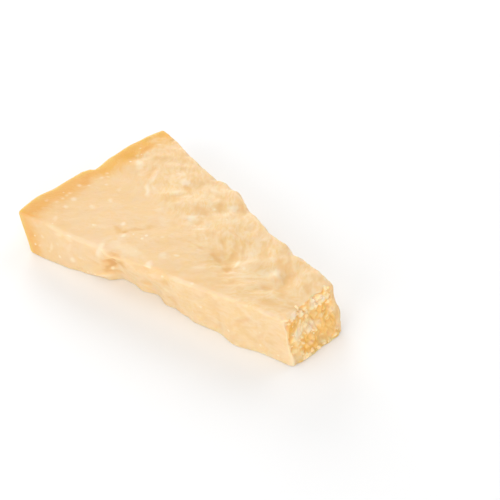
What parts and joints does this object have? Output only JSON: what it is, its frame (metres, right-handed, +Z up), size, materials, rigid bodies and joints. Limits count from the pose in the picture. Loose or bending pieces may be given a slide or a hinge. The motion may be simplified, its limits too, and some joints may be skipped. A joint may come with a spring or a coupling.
{
  "type": "parmesan cheese wedge",
  "caption": "Flat-lying wedge of hard, aged grating cheese with a thin amber rind at its wide end and its tip broken off, leaving a crumbly face.",
  "frame": {"origin": "on the surface the wedge lies on, in the middle of its footprint", "axes": "+X from the rind towards the broken tip, +Z up, so the long cut side at -Y is the one that shows beside the top in the picture"},
  "size_m": [0.1436, 0.0875, 0.0248],
  "materials": {
    "cheese": null
  },
  "bodies": {
    "root": {"parmesan_wedge": "cheese"}
  },
  "joints": []
}
